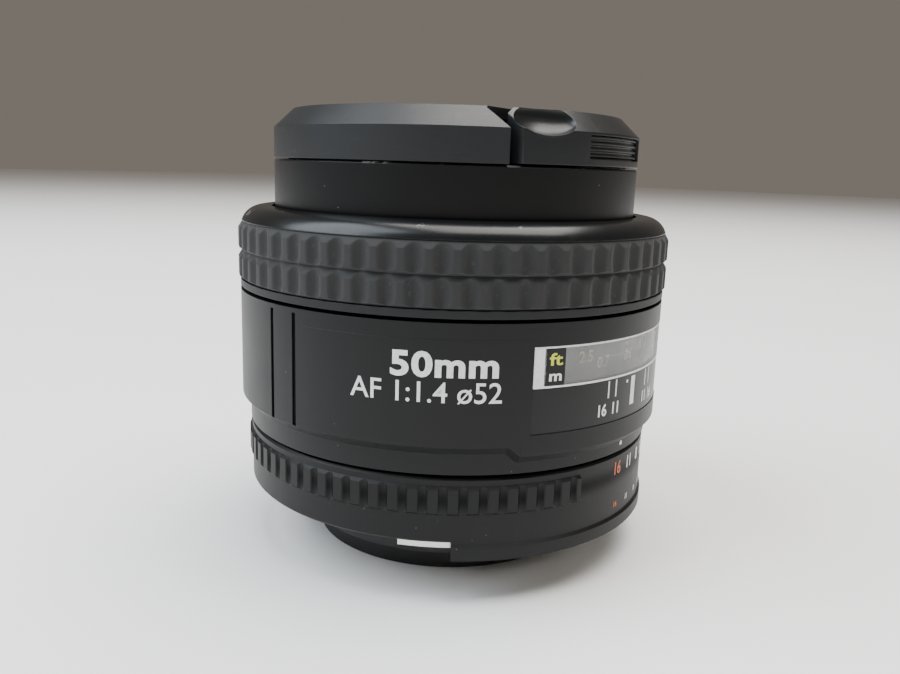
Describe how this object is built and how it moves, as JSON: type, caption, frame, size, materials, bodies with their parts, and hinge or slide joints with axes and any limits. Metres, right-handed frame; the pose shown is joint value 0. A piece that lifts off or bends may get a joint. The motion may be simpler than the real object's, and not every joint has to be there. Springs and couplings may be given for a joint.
{
  "type": "prime camera lens",
  "caption": "Autofocus prime camera lens with rubber focus ring, distance window, aperture ring, bayonet mount, iris and a pinch front cap.",
  "frame": {"origin": "on the optical axis, at the end of the rear baffle on which the lens stands", "axes": "+Z along the optical axis towards the front cap; -Y towards the focus and aperture index marks; +X to the right when facing the index marks"},
  "size_m": [0.0644, 0.0644, 0.063],
  "materials": {
    "mount_metal": "satin chrome on brass",
    "inner_black": "flat black",
    "chassis_metal": "black anodised",
    "body_plastic": "fine textured black",
    "window_clear": "clear gloss over printed scales",
    "spring_steel": "bright",
    "ring_plastic": "satin gloss black",
    "grip_rubber": "matte moulded rubber",
    "helicoid_metal": "bare, greased",
    "scale_black": "printed black drum",
    "gear_plastic": "natural acetal",
    "barrel_plastic": "satin black",
    "trim_plastic": "flat black with white print",
    "cell_black": "matte black anodised",
    "aperture_plastic": "satin black",
    "lock_plastic": "satin black",
    "shaft_steel": "machined",
    "cap_plastic": "satin black",
    "clip_plastic": "satin black",
    "screw_steel": "plated",
    "contact_gold": "gold plated",
    "blade_steel": "blackened steel",
    "lens_glass": "multicoated optical glass"
  },
  "bodies": {
    "mount_body": {"bayonet_mount": "mount_metal", "mount_screw_1": "screw_steel", "mount_screw_2": "screw_steel", "mount_screw_3": "screw_steel", "rear_baffle": "inner_black", "contact_block": "inner_black", "contact_pin_1": "contact_gold", "contact_pin_2": "contact_gold", "contact_pin_3": "contact_gold", "contact_pin_4": "contact_gold", "contact_pin_5": "contact_gold", "rear_chassis": "chassis_metal", "outer_casing": "body_plastic", "window_panel": "window_clear", "guide_tube": "chassis_metal", "guide_key_1": "chassis_metal", "guide_key_2": "chassis_metal", "click_ball": "spring_steel", "click_spring": "spring_steel"},
    "focus_body": {"focus_ring": "ring_plastic", "rubber_grip": "grip_rubber", "focus_helicoid": "helicoid_metal", "distance_scale": "scale_black", "focus_gear": "gear_plastic"},
    "lens_unit": {"filter_barrel": "barrel_plastic", "front_trim": "trim_plastic", "lens_carrier": "helicoid_metal", "front_cell": "cell_black", "rear_cell": "cell_black", "rear_spacer": "cell_black", "rear_retaining_ring": "cell_black", "iris_housing": "cell_black", "iris_cover": "cell_black", "lens_element_1": "lens_glass", "lens_element_2": "lens_glass", "lens_element_3": "lens_glass", "lens_element_4": "lens_glass", "lens_element_5": "lens_glass", "lens_element_6": "lens_glass", "lens_element_7": "lens_glass"},
    "iris_ring_body": {"iris_drive_ring": "helicoid_metal"},
    "aperture_body": {"aperture_ring": "aperture_plastic"},
    "lock_body": {"lock_slider": "lock_plastic"},
    "lever_body": {"stop_down_lever": "spring_steel"},
    "shaft_body": {"af_drive_shaft": "shaft_steel"},
    "cap_body": {"cap_shell": "cap_plastic", "cap_plate": "cap_plastic", "cap_spring_a": "spring_steel", "cap_spring_b": "spring_steel"},
    "clip_a_body": {"cap_clip_a": "clip_plastic"},
    "clip_b_body": {"cap_clip_b": "clip_plastic"},
    "blade_1_body": {"iris_blade_1": "blade_steel"},
    "blade_2_body": {"iris_blade_2": "blade_steel"},
    "blade_3_body": {"iris_blade_3": "blade_steel"},
    "blade_4_body": {"iris_blade_4": "blade_steel"},
    "blade_5_body": {"iris_blade_5": "blade_steel"},
    "blade_6_body": {"iris_blade_6": "blade_steel"},
    "blade_7_body": {"iris_blade_7": "blade_steel"}
  },
  "joints": [
    {"name": "focus_turn", "type": "hinge", "parent": "mount_body", "child": "focus_body", "pos_m": [0, 0, 0.0437], "axis": [0, 0, 1], "range_deg": [-33.2, 106.8]},
    {"name": "focus_extension", "type": "slide", "parent": "mount_body", "child": "lens_unit", "axis": [0, 0, 1], "range_m": [-0.00581, 0.00181]},
    {"name": "af_shaft_turn", "type": "hinge", "parent": "mount_body", "child": "shaft_body", "pos_m": [-0.02456, 0.01145, 0.0077], "axis": [0, 0, 1], "range_deg": [-862, 2770]},
    {"name": "aperture_turn", "type": "hinge", "parent": "mount_body", "child": "aperture_body", "pos_m": [0, 0, 0.013], "axis": [0, 0, 1], "range_deg": [-49, 0]},
    {"name": "iris_ring_turn", "type": "hinge", "parent": "lens_unit", "child": "iris_ring_body", "pos_m": [0, 0, 0.03], "axis": [0, 0, 1], "range_deg": [-3.51, 0]},
    {"name": "stop_down_lever_turn", "type": "hinge", "parent": "mount_body", "child": "lever_body", "pos_m": [0, 0, 0.0121], "axis": [0, 0, 1], "range_deg": [-16.2, 0]},
    {"name": "lock_slide", "type": "hinge", "parent": "aperture_body", "child": "lock_body", "pos_m": [0, 0, 0.011], "axis": [0, 0, 1], "range_deg": [0, 3.1]},
    {"name": "blade_1_swing", "type": "hinge", "parent": "lens_unit", "child": "blade_1_body", "pos_m": [0, -0.0172, 0.0305], "axis": [0, 0, 1], "range_deg": [-32.01, 0]},
    {"name": "blade_2_swing", "type": "hinge", "parent": "lens_unit", "child": "blade_2_body", "pos_m": [0.01345, -0.01072, 0.0305], "axis": [0, 0, 1], "range_deg": [-32.01, 0]},
    {"name": "blade_3_swing", "type": "hinge", "parent": "lens_unit", "child": "blade_3_body", "pos_m": [0.01677, 0.00383, 0.0305], "axis": [0, 0, 1], "range_deg": [-32.01, 0]},
    {"name": "blade_4_swing", "type": "hinge", "parent": "lens_unit", "child": "blade_4_body", "pos_m": [0.00746, 0.0155, 0.0305], "axis": [0, 0, 1], "range_deg": [-32.01, 0]},
    {"name": "blade_5_swing", "type": "hinge", "parent": "lens_unit", "child": "blade_5_body", "pos_m": [-0.00746, 0.0155, 0.0305], "axis": [0, 0, 1], "range_deg": [-32.01, 0]},
    {"name": "blade_6_swing", "type": "hinge", "parent": "lens_unit", "child": "blade_6_body", "pos_m": [-0.01677, 0.00383, 0.0305], "axis": [0, 0, 1], "range_deg": [-32.01, 0]},
    {"name": "blade_7_swing", "type": "hinge", "parent": "lens_unit", "child": "blade_7_body", "pos_m": [-0.01345, -0.01072, 0.0305], "axis": [0, 0, 1], "range_deg": [-32.01, 0]},
    {"name": "cap_lift", "type": "slide", "parent": "lens_unit", "child": "cap_body", "axis": [0, 0, 1], "range_m": [0, 0.03]},
    {"name": "clip_a_press", "type": "slide", "parent": "cap_body", "child": "clip_a_body", "axis": [-0.165, 0.9863, 0], "range_m": [0, 0.0016], "stiffness_N_per_m": 400, "springref_m": -0.001, "deforming": ["cap_spring_a"]},
    {"name": "clip_b_press", "type": "slide", "parent": "cap_body", "child": "clip_b_body", "axis": [0.165, -0.9863, 0], "range_m": [0, 0.0016], "stiffness_N_per_m": 400, "springref_m": -0.001, "deforming": ["cap_spring_b"]}
  ],
  "couplings": [
    {"joint": "focus_extension", "follows": "focus_turn", "m_per_rad": -0.0031103},
    {"joint": "af_shaft_turn", "follows": "focus_turn", "ratio": 25.909},
    {"joint": "iris_ring_turn", "follows": "aperture_turn", "ratio": 0.071429},
    {"joint": "stop_down_lever_turn", "follows": "aperture_turn", "ratio": 0.33},
    {"joint": "blade_1_swing", "follows": "aperture_turn", "ratio": 0.65306},
    {"joint": "blade_2_swing", "follows": "aperture_turn", "ratio": 0.65306},
    {"joint": "blade_3_swing", "follows": "aperture_turn", "ratio": 0.65306},
    {"joint": "blade_4_swing", "follows": "aperture_turn", "ratio": 0.65306},
    {"joint": "blade_5_swing", "follows": "aperture_turn", "ratio": 0.65306},
    {"joint": "blade_6_swing", "follows": "aperture_turn", "ratio": 0.65306},
    {"joint": "blade_7_swing", "follows": "aperture_turn", "ratio": 0.65306}
  ]
}
